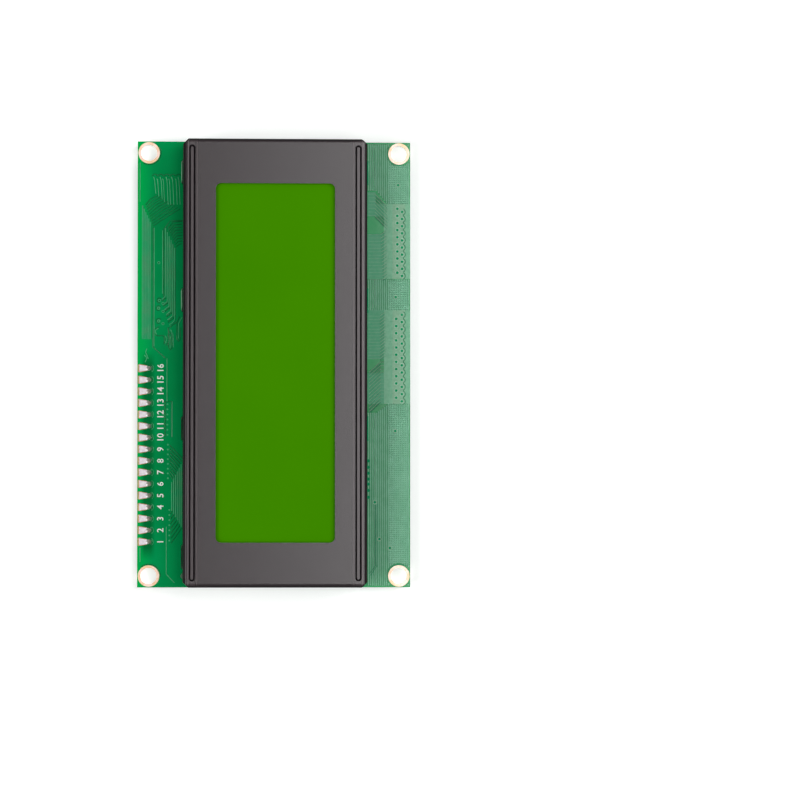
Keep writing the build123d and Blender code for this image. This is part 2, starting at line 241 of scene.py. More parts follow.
def connector_gold():
    """Immersion gold on the connector's lands: pinkish grey on the front and pale warm gold on the
    back.
    """
    material, tree, shader = new_material("gold_on_connector", "#DAD3D8", 0.5, Metallic=0.3)
    spots = noise(tree, 0.5)
    front = blend(tree, spots, "#D2C9CF", "#E2DBDF")
    back = blend(tree, spots, "#F6DDB0", "#FFEBD0")
    tree.links.new(by_face(tree, front, back), shader.inputs["Base Color"])
    return material


def coated_steel():
    """Cold-rolled steel sheet under a black satin coating with a fine grain.

    The colour carries painted light and shade: darker on the bend and on faces that slope
    away from the top, lighter on the grooves' shoulders and floor. The fold shines less.
    """
    material, tree, shader = new_material(
        "black_coated_steel", "#2A2629", 0.22, Specular_IOR_Level=0.9
    )
    grain = noise(tree, 0.12, 2.0)
    across = add_node(tree, "SeparateXYZ", {"Vector": object_place(tree)}).outputs["Y"]
    from_middle = add_node(tree, "Math", {0: across}, operation="ABSOLUTE").outputs[0]
    edge = add_node(
        tree, "MapRange", {"Value": from_middle}, From_Min=16.4 * mm, From_Max=bezel_high.y
    ).outputs[0]
    # Painted highlights on the grooves' shoulders, a painted lighter groove floor and painted shade on
    # the bend, across the bezel's width
    sheet, inner_shoulder_highlight, outer_shoulder_highlight, floor, bend_shade = "#2A2124", "#3E3437", "#52474A", "#3B3235", "#1E1618"
    stops = [(0.13, sheet), (0.18, inner_shoulder_highlight), (0.24, sheet), (0.4, floor), (0.55, floor)]
    stops += [(0.64, sheet), (0.7, outer_shoulder_highlight), (0.78, bend_shade), (1.0, bend_shade)]
    painted_groove_light_and_shade = ramp(tree, edge, stops)
    flat = add_node(
        tree, "MapRange", {"Value": upwardness(tree)}, From_Min=0.8, From_Max=0.97
    ).outputs[0]
    # Painted shade: faces that slope away from the top, such as groove flanks, the bend and the walls,
    # are nearly black
    tone = add_node(tree, "MixRGB", {"Fac": flat, "Color2": painted_groove_light_and_shade}, Color1=linear("#120D10"))
    tree.links.new(tone.outputs[0], shader.inputs["Base Color"])
    shine = add_node(tree, "MapRange", {"Value": flat}, To_Min=0.15, To_Max=0.8).outputs[0]
    fold_stops = [(0.77, "#FFFFFF"), (0.8, "#E1E1E1"), (0.85, "#9A9A9A")]
    shares = {0: shine, 1: ramp(tree, edge, fold_stops)}
    dulled = add_node(tree, "Math", shares, operation="MULTIPLY")
    tree.links.new(dulled.outputs[0], shader.inputs["Specular IOR Level"])
    vary_roughness(tree, shader, grain, 0.2, 0.28)
    bump(tree, shader, grain, 0.004)
    return material


def green_polariser():
    """Polarising film over the unlit cell: flat yellow-green with a dull anti-glare skin."""
    material, tree, shader = new_material(
        "yellow_green_polariser_film", "#3B8200", 0.6, Specular_IOR_Level=0.0
    )
    tone = blend(tree, noise(tree, 30.0), "#3A8100", "#3D8400")
    tree.links.new(tone, shader.inputs["Base Color"])
    return material


def plain_finish(name, first, second, grain_mm, roughness, **inputs):
    """A finish that only varies a little in tone, for small, flat or hidden pieces."""
    material, tree, shader = new_material(name, first, roughness, **inputs)
    tone = blend(tree, noise(tree, grain_mm), first, second)
    tree.links.new(tone, shader.inputs["Base Color"])
    return material


no_shine = {"Specular_IOR_Level": 0.0}
little_shine = {"Specular_IOR_Level": 0.3}

polariser = green_polariser()
# Thin immersion gold: pale and warm, pinker on the front of the fixing holes' rings
pale_tones, peach_tones = ("#F7DBA6", "#FFEFD0"), ("#F7CDA4", "#FFE0D0")
ring_gold = gold_plated_copper("immersion_gold_on_copper", peach_tones, pale_tones)
pale_gold = gold_plated_copper("thin_gold_on_copper", pale_tones, pale_tones)
# Scribed and broken float glass: clear, smooth and faintly green
glass = plain_finish("float_glass_cut", "#C9DCCB", "#D3E4D4", 3.0, 0.05, Transmission_Weight=0.9)
# Drawn polyester film that scatters light: milky and dull
film = plain_finish("diffusing_polyester_film", "#E8E8DC", "#F1F1E8", 2.0, 0.6)
# Injection-moulded polycarbonate filled with white: satin
white = plain_finish("moulded_white_polycarbonate", "#D9DBD6", "#E3E5E0", 2.0, 0.45)
# Resin cast over a chip: glossy yellow-green
resin = plain_finish("clear_resin_over_led", "#BFD860", "#CFE57A", 0.5, 0.2)
# Rubber built up in fine conductive and plain layers: dull red-brown
rubber = plain_finish("layered_conductive_rubber", "#3A1F20", "#5A3638", 0.2, 0.7)
# Epoxy cured as a drop: nearly black, smooth, with soft highlights
epoxy = plain_finish("cast_black_epoxy", "#323036", "#3C3A40", 3.0, 0.34)
# Sawn silicon: dark grey with a slight shine
silicon = plain_finish("sawn_silicon", "#333338", "#3D3D44", 0.6, 0.25)
# Solder that has flowed in an oven: bright metal of uneven tone
solder = plain_finish("reflowed_solder", "#D0CDC6", "#E2DFD8", 0.5, 0.25, Metallic=1.0)
# Drawn copper wire dipped in tin: pale grey metal
wire = plain_finish("tinned_copper_wire", "#C4C0B8", "#D2CEC6", 0.4, 0.3, Metallic=1.0)
# Glazed and fired ceramic: nearly black and smooth
ceramic = plain_finish("glazed_resistor_ceramic", "#3A3234", "#4A4143", 0.5, 0.3)
# Adhesive cured at the cell's end: amber and half glossy
seal = plain_finish("cured_cell_adhesive", "#CDBD8C", "#D9CB9E", 0.6, 0.3)

# Finish of every node whose name starts with these words
node_finishes = {
    "circuit_board": solder_mask(),
    "connector_lands": connector_gold(),
    "fixing_lands": ring_gold,
    "tab_lands": pale_gold,
    "component_lands": pale_gold,
    "bezel": coated_steel(),
    "front_polariser": polariser,
    "rear_polariser": polariser,
    "front_glass": glass,
    "rear_glass": glass,
    "cell_end_seal": seal,
    "rubber_strip": rubber,
    "diffuser_film": film,
    "backlight_tray": white,
    "backlight_lead": wire,
    "lead_solder": solder,
    "led_board": white,
    "led_chips": resin,
    "driver_dies": silicon,
    "epoxy_dome": epoxy,
    "resistor_body": ceramic,
    "resistor_ends": solder,
}
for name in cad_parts:
    finish = next(node_finishes[start] for start in node_finishes if name.startswith(start))
    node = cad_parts[name]
    node.data.materials.clear()
    node.data.materials.append(finish)


def place_camera():
    """The camera, turned so that +X of the module points up in the picture."""
    camera = bpy.data.objects.new("camera", bpy.data.cameras.new("camera"))
    bpy.context.scene.collection.objects.link(camera)
    camera.data.lens = camera_lens
    camera.data.sensor_width = camera_sensor
    camera.data.clip_start = 0.01
    forward = (camera_target - camera_eye).normalized()
    right = forward.cross(Vector((1, 0, 0))).normalized()
    turn = Matrix((right, right.cross(forward), -forward)).transposed().to_4x4()
    camera.matrix_world = Matrix.Translation(camera_eye * mm) @ turn
    bpy.context.scene.camera = camera


def softbox(name, place, aim, length, width, radiance):
    """A rectangular lamp at place, facing aim, that looks as bright as radiance."""
    data = bpy.data.lights.new(name, "AREA")
    data.shape = "RECTANGLE"
    data.size = length * mm
    data.size_y = width * mm
    data.energy = radiance * math.pi * data.size * data.size_y
    lamp = bpy.data.objects.new(name, data)
    bpy.context.scene.collection.objects.link(lamp)
    direction = Vector(aim) - Vector(place)
    lamp.rotation_euler = direction.to_track_quat("-Z", "Y").to_euler()
    lamp.location = Vector(place) * mm
    return lamp


def light_scene():
    """A pale studio with a dark ceiling and three softboxes."""
    world = bpy.data.worlds.new("studio")
    bpy.context.scene.world = world
    world.use_nodes = True
    background = world.node_tree.nodes["Background"]
    background.inputs["Strength"].default_value = 0.3
    sky = add_node(world.node_tree, "TexCoord").outputs["Generated"]
    height = add_node(world.node_tree, "SeparateXYZ", {"Vector": sky}).outputs["Z"]
    dark_ceiling = blend(world.node_tree, height, "#FFFFFF", "#1C1C1C", 0.8, 0.95)
    world.node_tree.links.new(dark_ceiling, background.inputs["Color"])
    softbox("strip_softbox", (80, -242, 1200), (80, -242, 0), length=900, width=310, radiance=4.3)
    softbox("key_softbox", (300, -750, 950), (0, 0, 0), length=700, width=700, radiance=4.0)
    softbox("fill_softbox", (-300, 800, 900), (0, 0, 0), length=700, width=700, radiance=5.2)
    bpy.context.scene.view_settings.view_transform = "Standard"


def floor_open_to_light(tree):
    """White lift of the floor: some beside the board, none under it, and more in the fixing holes,
    where it paints a pool of light seen through them.
    """
    lift_beside, painted_light_in_holes = 0.3, 0.6
    place = add_node(tree, "SeparateXYZ", {"Vector": object_place(tree)})
    x = add_node(tree, "Math", {0: place.outputs["X"]}, operation="ABSOLUTE").outputs[0]
    y = add_node(tree, "Math", {0: place.outputs["Y"]}, operation="ABSOLUTE").outputs[0]
    past_end = add_node(tree, "Math", {0: x}, {1: half_length * mm}, operation="GREATER_THAN")
    past_side = add_node(tree, "Math", {0: y}, {1: half_width * mm}, operation="GREATER_THAN")
    either = {0: past_end.outputs[0], 1: past_side.outputs[0]}
    outside = add_node(tree, "Math", either, operation="MAXIMUM").outputs[0]
    beside = add_node(tree, "Math", {0: outside}, {1: lift_beside}, operation="MULTIPLY")
    corner = add_node(tree, "CombineXYZ", {"X": x, "Y": y}).outputs[0]
    # Painted light: a soft pool of extra white on the floor under each fixing hole
    hole_middle = {1: (fixing_x * mm, fixing_y * mm, 0)}
    away = add_node(tree, "VectorMath", {0: corner}, hole_middle, operation="DISTANCE")
    light_pool_in_holes = add_node(
        tree,
        "MapRange",
        {"Value": away.outputs["Value"]},
        From_Min=fixing_hole_radius * 0.95 * mm,
        From_Max=fixing_hole_radius * 1.5 * mm,
        To_Min=painted_light_in_holes,
        To_Max=0.0,
    )
    lifts = {0: beside.outputs[0], 1: light_pool_in_holes.outputs[0]}
    return add_node(tree, "Math", lifts, operation="MAXIMUM").outputs[0]


def lay_floor():
    """White paper, lifted for the camera, in mirror images and through clear pieces."""
    bpy.ops.mesh.primitive_plane_add(size=6.0, location=(0, 0, 0))
    floor = bpy.context.object
    floor.name = "floor"
    material, tree, shader = new_material("white_paper_floor", "#F4F4F4", 0.9, **no_shine)
    ray = add_node(tree, "LightPath").outputs
    through = {0: ray["Is Glossy Ray"], 1: ray["Is Transmission Ray"]}
    mirrored = add_node(tree, "Math", through, operation="MAXIMUM").outputs[0]
    straight = {0: ray["Is Camera Ray"], 1: mirrored}
    seen = add_node(tree, "Math", straight, operation="MAXIMUM").outputs[0]
    shares = {0: seen, 1: floor_open_to_light(tree)}
    lift = add_node(tree, "Math", shares, operation="MULTIPLY")
    shader.inputs["Emission Color"].default_value = (1, 1, 1, 1)
    tree.links.new(lift.outputs[0], shader.inputs["Emission Strength"])
    floor.data.materials.append(material)


def select_only(piece):
    """Makes the piece the only selected one and the active one."""
    bpy.ops.object.select_all(action="DESELECT")
    piece.select_set(True)
    bpy.context.view_layer.objects.active = piece


def finish_piece(piece, name, finish):
    """Puts the piece's place into its mesh, gives it a finish and lets it ride on the module."""
    select_only(piece)
    bpy.ops.object.transform_apply(location=True, rotation=True, scale=True)
    piece.name = name
    piece.data.materials.clear()
    piece.data.materials.append(finish)
    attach(piece, "root")
    return piece


def join_pieces(pieces):
    """Joins all the pieces into the first of them."""
    bpy.ops.object.select_all(action="DESELECT")
    for piece in pieces:
        piece.select_set(True)
    bpy.context.view_layer.objects.active = pieces[0]
    bpy.ops.object.join()
    return pieces[0]


def spread(first, last, count):
    """count polylines spread evenly from the first to the last."""
    lines = []
    for i in range(count):
        share = i / (count - 1)
        lines.append(
            [(a + (c - a) * share, b + (d - b) * share) for (a, b), (c, d) in zip(first, last)]
        )
    return lines


def arc(x, y, radius, start, end, steps=6):
    """Points of an arc round x and y, its angles in degrees from +X towards +Y."""
    angles = [math.radians(start + (end - start) * i / steps) for i in range(steps + 1)]
    return [(x + radius * math.cos(a), y + radius * math.sin(a)) for a in angles]


def lay_lines(name, lines, width, height, level, finish):
    """Polylines drawn on a face of the board, made into one mesh of low rounded ridges."""
    curve = bpy.data.curves.new(name, "CURVE")
    curve.dimensions = "3D"
    curve.twist_mode = "Z_UP"
    curve.bevel_depth = width / 2 * mm
    curve.bevel_resolution = 0
    curve.use_fill_caps = True
    for line in lines:
        spline = curve.splines.new("POLY")
        spline.points.add(len(line) - 1)
        for point, (x, y) in zip(spline.points, line):
            point.co = (x * mm, y * mm, 0, 1)
    piece = bpy.data.objects.new(name, curve)
    bpy.context.scene.collection.objects.link(piece)
    select_only(piece)
    bpy.ops.object.convert(target="MESH")
    piece.scale.z = 2 * height / width
    piece.location.z = level * mm
    return finish_piece(piece, name, finish)


def lay_patches(name, boxes, height, level, finish):
    """Flat fields on a face of the board. Each box is its X range and its Y range."""
    patches = []
    for x0, x1, y0, y1 in boxes:
        middle = ((x0 + x1) / 2 * mm, (y0 + y1) / 2 * mm, level * mm)
        bpy.ops.mesh.primitive_cube_add(size=1.0, location=middle)
        patch = bpy.context.object
        patch.scale = ((x1 - x0) * mm, (y1 - y0) * mm, 2 * height * mm)
        patches.append(patch)
    return finish_piece(join_pieces(patches), name, finish)


def lay_vias(name, places, radius, level, facing, rim_finish, well_finish):
    """Small round rims with a sunken middle, as plated holes that mask has closed."""
    bpy.ops.mesh.primitive_cylinder_add(
        vertices=via_sides, radius=radius * mm, depth=2 * via_height * mm, location=(0, 0, 0)
    )
    rim = bpy.context.object
    rim.data.materials.append(rim_finish)
    rim.data.materials.append(well_finish)
    bpy.ops.object.mode_set(mode="EDIT")
    bpy.ops.mesh.select_all(action="DESELECT")
    bpy.ops.object.mode_set(mode="OBJECT")
    for face in rim.data.polygons:
        face.select = face.normal.z > 0.9
    bpy.ops.object.mode_set(mode="EDIT")
    bpy.ops.mesh.inset(thickness=radius * via_rim_share * mm)
    bpy.ops.mesh.inset(thickness=radius * via_wall_share * mm)
    bpy.context.object.active_material_index = 1
    bpy.ops.object.material_slot_assign()
    bpy.ops.transform.translate(value=(0, 0, -via_sink_share * via_height * mm))
    bpy.ops.object.mode_set(mode="OBJECT")
    rim.scale.z = facing
    rim.location.z = level * mm
    rims = [rim]
    for x, y in places[1:]:
        copy = rim.copy()
        copy.data = rim.data.copy()
        copy.location = (x * mm, y * mm, level * mm)
        bpy.context.scene.collection.objects.link(copy)
        rims.append(copy)
    rim.location.x = places[0][0] * mm
    rim.location.y = places[0][1] * mm
    vias = join_pieces(rims)
    bpy.ops.object.transform_apply(location=True, rotation=True, scale=True)
    if facing < 0:
        bpy.ops.object.mode_set(mode="EDIT")
        bpy.ops.mesh.select_all(action="SELECT")
        bpy.ops.mesh.normals_make_consistent(inside=False)
        bpy.ops.object.mode_set(mode="OBJECT")
    vias.name = name
    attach(vias, "root")
    return vias


def print_words(name, words, level, facing, finish, turn=0):
    """Plain numbers and marks printed in ink. Each word is its text, middle X, middle Y and height.

    Their tops are towards +Y, turned by turn degrees about +Z.
    """
    prints = []
    turn = math.radians(turn)
    for text, x, y, height in words:
        bpy.ops.object.text_add(location=(0, 0, 0))
        word = bpy.context.object
        word.data.body = text
        word.data.size = height / letter_height_share * mm
        word.data.align_x = "CENTER"
        word.data.resolution_u = 3
        word.data.extrude = ink_thickness * mm
        word.data.offset = ink_spread * mm
        bpy.ops.object.convert(target="MESH")
        word.rotation_euler = (0, 0 if facing > 0 else math.pi, turn)
        foot_x, foot_y = x + math.sin(turn) * height / 2, y - math.cos(turn) * height / 2
        word.location = (foot_x * mm, foot_y * mm, level * mm)
        prints.append(word)
    piece = join_pieces(prints)
    return finish_piece(piece, name, finish)


# Openings in the board that lines and marks keep clear of
ring_clearance_radius = 2.7
lug_places = ((46.9, -19.4), (-45.9, 19.4))
lug_clearance_radius = 0.9
tab_places = (14.1, 42.3)
slot_row = (18.9, 20.7)
slot_half_length = 3.1

# Relief of what lies on the board's faces
land_thickness = 0.05
ink_thickness = 0.012
ink_spread = 0.02
letter_height_share = 0.69
via_sides = 10
via_height = 0.03
via_rim_share = 0.3
via_wall_share = 0.1
via_sink_share = 0.8
field_height = 0.004
hatch_pitch = 0.62
cutting_step = 0.25

# Green solder mask cured over copper: paler and greyer than over laminate, a little less shiny
over_copper = plain_finish("solder_mask_over_track", "#42A971", "#4CB27A", 1.5, 0.12, **little_shine)
over_plane = plain_finish(
    "solder_mask_over_copper_plane", "#2EA86B", "#43A36C", 2.5, 0.12, **little_shine
)
over_hatch = plain_finish(
    "solder_mask_over_hatched_copper", "#75BA94", "#7FC29E", 1.5, 0.12, **little_shine
)
over_leads = plain_finish(
    "solder_mask_over_fine_leads", "#60A67F", "#6CAE88", 0.8, 0.12, **little_shine
)
over_comb = plain_finish("solder_mask_over_comb", "#38976A", "#42996F", 0.8, 0.12, **little_shine)
over_pour = plain_finish(
    "solder_mask_over_solid_copper", "#6FA481", "#79AC89", 0.8, 0.12, **little_shine
)
via_halo = plain_finish("solder_mask_round_via", "#82B292", "#8CBA9C", 0.6, 0.12, **little_shine)
# The same mask over bare laminate and in sunken places: darker, and dull where it is sunk
over_laminate = plain_finish("solder_mask_over_bare_laminate", "#006E39", "#007840", 1.5, 0.2)
via_middle = plain_finish("solder_mask_in_via", "#108A58", "#189460", 0.6, 0.6, **no_shine)
right_gap = plain_finish("solder_mask_beside_lead", "#3F9068", "#489970", 0.6, 0.6, **no_shine)
scallop_line = plain_finish(
    "solder_mask_between_via_pads", "#2C7C56", "#35855E", 0.6, 0.6, **no_shine
)
# Etched copper that the gold has not reached: orange-brown and a little metallic
copper_edge = plain_finish(
    "bare_copper_at_land_edge", "#C98A62", "#DDA078", 0.5, 0.4, Metallic=0.3
)
# Mask that has run thin over the lands' ends: olive
copper_under_mask = plain_finish("thin_mask_over_land_end", "#8E9454", "#A09A5C", 0.5, 0.3)
# Painted highlight: a nearly white glint at each pin hole's rim
painted_glint = plain_finish("painted_glint_at_hole", "#FFF6EC", "#FFFFFF", 0.5, 0.4)
# The back's mask, cured over copper and over laminate: a bluer green
back_over_copper = plain_finish("back_mask_over_track", "#1C9A6E", "#28A57A", 1.5, 0.2)
back_over_hatch = plain_finish("back_mask_over_hatched_copper", "#128E63", "#1C976C", 1.5, 0.2)
back_over_laminate = plain_finish("back_mask_over_bare_laminate", "#00764A", "#007E52", 1.5, 0.2)
back_via_rim = plain_finish("back_mask_over_via", "#35AE84", "#48BA92", 0.5, 0.2)
# Screen-printed epoxy ink: white and dull
legend_ink = plain_finish("white_legend_ink", "#E4E6E2", "#F0F2EE", 0.5, 0.55)


def front_left_strip():
    """Copper, gaps and vias between the bezel and the connector edge, front side."""
    tracks = [[(44.3, 29.46), (35.7, 29.46)], [(-40.3, 29.35), (-43.4, 29.35)]]
    # Nine short bent tracks near the corner at +X and +Y
    comb = [26.3, 25.65, 24.9, 24.4, 23.6, 23.05, 22.35, 21.6, 20.95]
    for i, y in enumerate(comb):
        bottom = 37.5 - 0.6 * min(i, 4)
        tracks.append([(bottom, y - 0.3), (39.6, y - 0.1), (40.6, y), (41.2 - 0.4 * (i % 2), y + 0.2)])
    # Broad copper, drawn as bands side by side
    planes = spread([(34.9, 28.9), (5.5, 28.9)], [(31.3, 27.2), (5.5, 27.2)], 6)
    planes += spread(
        [(29.9, 23.85), (14.9, 23.85), (14.2, 24.7)], [(25.6, 21.8), (9.6, 21.8), (8.6, 23.0)], 6
    )
    planes += spread([(-25.9, 22.4), (-32.2, 22.4)], [(-22.0, 20.3), (-35.7, 20.3)], 6)
    # Single tracks, from the first end to the last
    tracks += [
        [(30.0, 26.35), (3.9, 26.35)],
        [(29.4, 24.5), (15.5, 24.5)],
        [(1.3, 23.5), (-8.2, 23.5)],
        [(-8.2, 22.35), (-16.0, 22.35)],
        [(-35.7, 23.6), (-46.1, 23.6), (-48.0, 21.8)],
        [(7.9, 25.4), (7.5, 26.0), (7.0, 26.1), (6.6, 25.8)],
        [(6.2, 23.9), (5.6, 23.5), (4.6, 23.8)],
        [(6.1, 22.8), (3.6, 22.8)],
        [(7.6, 22.7), (6.4, 22.2), (3.7, 22.1)],
        [(10.3, 20.2), (9.0, 20.9), (5.7, 21.0)],
        [(3.4, 27.9), (2.6, 28.2), (1.2, 27.6)],
        [(2.0, 28.5), (1.4, 27.9), (0.4, 28.3)],
    ]
    # Slanting gaps between neighbouring tracks
    gaps = spread(
        [(37.2, 25.4), (36.3, 27.2), (35.0, 28.3)], [(34.2, 20.7), (32.4, 23.6), (30.4, 26.6)], 10
    )
    gaps += spread(
        [(29.7, 23.4), (31.3, 22.2), (31.4, 20.2)], [(25.8, 21.5), (26.4, 20.9), (26.5, 20.2)], 9
    )
    gaps += [arc(41.2, 26.2 - 1.3 * i, 0.6, -75, 75, 5) for i in range(5)]
    gaps += spread([(14.6, 23.7), (13.9, 24.7)], [(9.3, 21.4), (8.0, 23.0)], 6)
    gaps += [arc(x, y, 0.55, -60, 200, 8) for x, y in ((14.0, 25.2), (12.3, 25.35), (9.5, 25.35))]
    # Gaps that wind round the tracks near the last pin
    gaps += [
        [(8.3, 25.2), (7.6, 26.4), (6.8, 26.5), (6.2, 25.6), (6.3, 24.3), (5.5, 24.0), (4.4, 24.2)],
        [(6.5, 23.4), (5.5, 23.0), (4.5, 23.4), (4.1, 23.8)],
        [(8.1, 23.3), (6.4, 23.1), (3.8, 23.2), (3.1, 22.8), (3.6, 22.4), (6.2, 22.5), (7.2, 23.0)],
        [(10.5, 20.8), (9.3, 21.3), (5.7, 21.4), (5.0, 21.0), (5.5, 20.6), (8.1, 20.5)],
    ]
    # Gaps round the fixing holes' rings and along the broad copper
    gaps += [
        arc(fixing_x, fixing_y, 2.6, 150, 300, 14),
        arc(-fixing_x, fixing_y, 2.6, -95, 40, 14),
        [(30.1, 26.6), (3.8, 26.6), (1.3, 23.85)],
        [(31.65, 20.0), (31.5, 22.9), (29.7, 24.25), (14.0, 24.25)],
        [(-8.2, 23.9), (-8.2, 22.5), (-16.0, 22.5)],
        [(-8.2, 23.9), (-16.0, 23.9)],
    ]
    gaps += spread([(-17.8, 22.9), (-20.8, 20.0)], [(-24.2, 22.9), (-25.4, 22.1)], 9)
    gaps += spread([(-32.3, 22.3), (-32.9, 22.7)], [(-35.9, 20.2), (-39.3, 22.6)], 7)
    vias = [(14.0, 25.2), (13.3, 24.4), (12.3, 25.35), (11.6, 24.4), (9.5, 25.35), (8.9, 24.4)]
    vias += [(22.3, 25.35)]
    # Three rows of small round bumps
    dots = [(-8.8 - 1.12 * i, 23.4) for i in range(7)]
    dots += [(-17.7 - 1.05 * i, 23.3) for i in range(8)]
    dots += [(-32.0 - 1.12 * i, 22.95) for i in range(7)]
    return tracks, gaps, vias, dots, planes


def front_right_strip():
    """The hatched copper and the two fans of tracks at the other edge, front side."""
    inner, outer = -20.8, -29.6
    # Lines along the edge in three hatched fields. Each field is its high end, how far that
    # end rises over the slope, its low end and how far that end drops.
    tracks = []
    fields = ((48.6, 0, 38.4, 3.4), (18.8, 0, 11.0, -0.8), (-10.6, 2.0, -48.6, 0))
    for high, rise, low, step in fields:
        tracks += spread([(high, inner), (low, inner)], [(high, -22.2), (low, -22.2)], 4)
        tracks += spread(
            [(high, -22.6), (low, -22.6)], [(high + rise, -25.2), (low - step, -25.2)], 7
        )
        high, low = high + rise, low - step
        tracks += spread([(high, -25.6), (low, -25.6)], [(high, outer), (low, outer)], 11)
    # The lines that cross them
    tracks += spread([(43.8, -25.2), (43.8, outer)], [(35.8, -25.2), (35.8, outer)], 20)
    tracks += spread([(18.2, -25.2), (18.2, outer)], [(12.4, -25.2), (12.4, outer)], 15)
    tracks += spread([(-9.1, -25.2), (-9.1, outer)], [(-43.5, -25.2), (-43.5, outer)], 82)
    # Leads of the display, from the bezel over a slope to the via columns
    upper_fan = spread(
        [(37.6, inner), (37.6, -22.2), (34.8, -24.95), (34.8, -26.7)],
        [(32.9, inner), (32.9, -22.2), (30.1, -24.95), (30.1, -26.7)],
        7,
    )
    comb = spread(
        [(28.7, inner), (28.7, -23.5), (29.5, -24.7), (29.5, -26.6)],
        [(18.8, inner), (18.8, -23.9), (19.5, -24.9), (19.5, -26.6)],
        14,
    )
    comb += spread(
        [(10.7, inner), (10.7, -23.3), (11.6, -24.5), (11.6, -26.4)],
        [(1.3, inner), (1.3, -23.3), (2.2, -24.5), (2.2, -26.4)],
        14,
    )
    lower_fan = spread(
        [(-1.7, -20.95), (0.6, -23.5), (0.6, -26.3)],
        [(-10.3, -20.95), (-8.0, -23.5), (-8.0, -26.3)],
        12,
    )
    fans = upper_fan + comb + lower_fan
    leads = [line[:2] for line in upper_fan + comb] + [line[-2:] for line in fans]
    slopes = [line[-3:-1] for line in fans]
    vias = through_vias()
    # One scalloped line along each outer column of via pads
    scallops = []
    for start, pitch, count in ((33.7, 1.57, 10), (11.0, 1.59, 13)):
        rim = []
        for i in range(count):
            rim += arc(start - pitch * i, -28.2, 0.72, -25, -155, 6)
        scallops.append(rim)
    vias += [(39.6, -27.35), (14.9, -26.8), (-14.6, -26.7), (-40.35, -25.5), (-38.4, -23.2)]
    vias += [(-30.3, -22.2)]
    # Two single tracks, and copper round the fixing holes' rings
    leads += [
        [(-30.6, -22.35), (-30.6, -22.6), (-44.2, -22.6), (-46.3, -21.0)],
        [(-31.0, -21.9), (-34.6, -21.9)],
        arc(fixing_x, -fixing_y, 2.9, 60, 230, 14),
        arc(-fixing_x, -fixing_y, 2.9, -50, 110, 14),
    ]
    # Gaps beside the slopes, beside the long single track and round the rings
    gaps = [[(x - 0.34, y) for x, y in line] for line in slopes]
    gaps += [
        [(-30.6, -22.85), (-44.1, -22.85), (-46.4, -21.2)],
        [(-30.6, -22.3), (-44.3, -22.3), (-46.1, -20.9)],
    ]
    gaps.append(arc(fixing_x, -fixing_y, 2.6, 50, 200, 14))
    gaps.append(arc(-fixing_x, -fixing_y, 2.6, -30, 120, 14))
    dots = [(x, -20.8) for x in (-21.2, -22.6, -23.9, -25.2, -26.3, -27.7, -29.2)]
    return tracks, gaps, scallops, vias, dots, slopes, leads


def is_over_board(x, y):
    """Whether a place is clear of the fixing holes' rings, the slots and the lug holes."""
    if math.hypot(abs(x) - fixing_x, abs(y) - fixing_y) < ring_clearance_radius:
        return False
    if any(math.dist((x, y), lug) < lug_clearance_radius for lug in lug_places):
        return False
    in_slot_row = slot_row[0] < abs(y) < slot_row[1]
    return not (in_slot_row and any(abs(abs(x) - tab) < slot_half_length for tab in tab_places))


def clear_of_openings(lines):
    """Cuts straight lines where they would cross an opening in the board."""
    kept = []
    for line in lines:
        if len(line) != 2:
            kept.append(line)
            continue
        (x0, y0), (x1, y1) = line
        steps = max(int(math.hypot(x1 - x0, y1 - y0) / cutting_step), 1)
        points = [
            (x0 + (x1 - x0) * i / steps, y0 + (y1 - y0) * i / steps) for i in range(steps + 1)
        ]
        free = [is_over_board(x, y) for x, y in points]
        start = None
        for i in range(steps + 1):
            if free[i] and start is None:
                start = i
            if start is not None and (not free[i] or i == steps):
                end = i if free[i] else i - 1
                if end > start:
                    kept.append([points[start], points[end]])
                start = None
    return kept


def cross_hatch(x0, x1, y0, y1, pitch):
    """Lines at 45 degrees, both ways, that fill a rectangle."""
    lines = []
    count = int((x1 - x0 + y1 - y0) / (pitch * math.sqrt(2)))
    for i in range(1, count):
        run = i * pitch * math.sqrt(2)
        along, down = min(run, x1 - x0), min(run, y1 - y0)
        start = (x0 + along, y0 + run - along)
        end = (x0 + run - down, y0 + down)
        if math.dist(start, end) > pitch:
            lines.append([start, end])
            lines.append([(x0 + x1 - start[0], start[1]), (x0 + x1 - end[0], end[1])])
    return lines


def rectangle(x0, x1, y0, y1):
    """A closed outline that starts in the middle of one side."""
    middle = (x0 + x1) / 2
    return [(middle, y0), (x1, y0), (x1, y1), (x0, y1), (x0, y0), (middle, y0)]


def split_box(x0, x1, y0, y1, gap, along_y):
    """A box whose two long sides are open in the middle."""
    if along_y:
        low, high = (y0 + y1 - gap) / 2, (y0 + y1 + gap) / 2
        return [
            [(x0, low), (x0, y0), (x1, y0), (x1, low)],
            [(x0, high), (x0, y1), (x1, y1), (x1, high)],
        ]
    low, high = (x0 + x1 - gap) / 2, (x0 + x1 + gap) / 2
    return [
        [(low, y0), (x0, y0), (x0, y1), (low, y1)],
        [(high, y0), (x1, y0), (x1, y1), (high, y1)],
    ]


def through_vias():
    """Two staggered pairs of via columns near the edge, which come out on both faces."""
    places = [(34.4 - 1.57 * i, -27.15) for i in range(10)]
    places += [(33.7 - 1.57 * i, -28.2) for i in range(10)]
    places += [(10.1 - 1.58 * i, -26.9) for i in range(12)]
    places += [(11.0 - 1.59 * i, -28.15) for i in range(13)]
    return places


